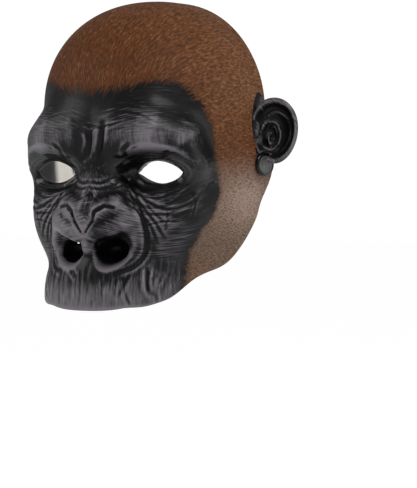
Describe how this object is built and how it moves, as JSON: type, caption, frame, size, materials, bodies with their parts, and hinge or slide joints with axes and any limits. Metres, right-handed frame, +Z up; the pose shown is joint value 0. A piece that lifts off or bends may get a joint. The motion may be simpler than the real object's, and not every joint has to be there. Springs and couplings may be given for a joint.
{
  "type": "gorilla mask",
  "caption": "Hollow cast latex gorilla half mask with crown, brow, nose, upper lip and ears, eye holes, and an elastic strap riveted behind the head.",
  "frame": {"origin": "the seat inside the crown, where the top of the wearer's head carries the mask", "axes": "+Z up along the worn head, the face looks along -Y, +X towards the wearer's left ear"},
  "size_m": [0.2242, 0.1725, 0.2235],
  "materials": {
    "latex": "painted latex: black dry-brushed grey face, short brown sculpted fur",
    "rivet": "dark smooth cap",
    "elastic": "woven black elastic"
  },
  "bodies": {
    "root": {"mask_skin": "latex", "rivet_left": "rivet", "rivet_right": "rivet", "elastic_strap": "elastic"}
  },
  "joints": []
}
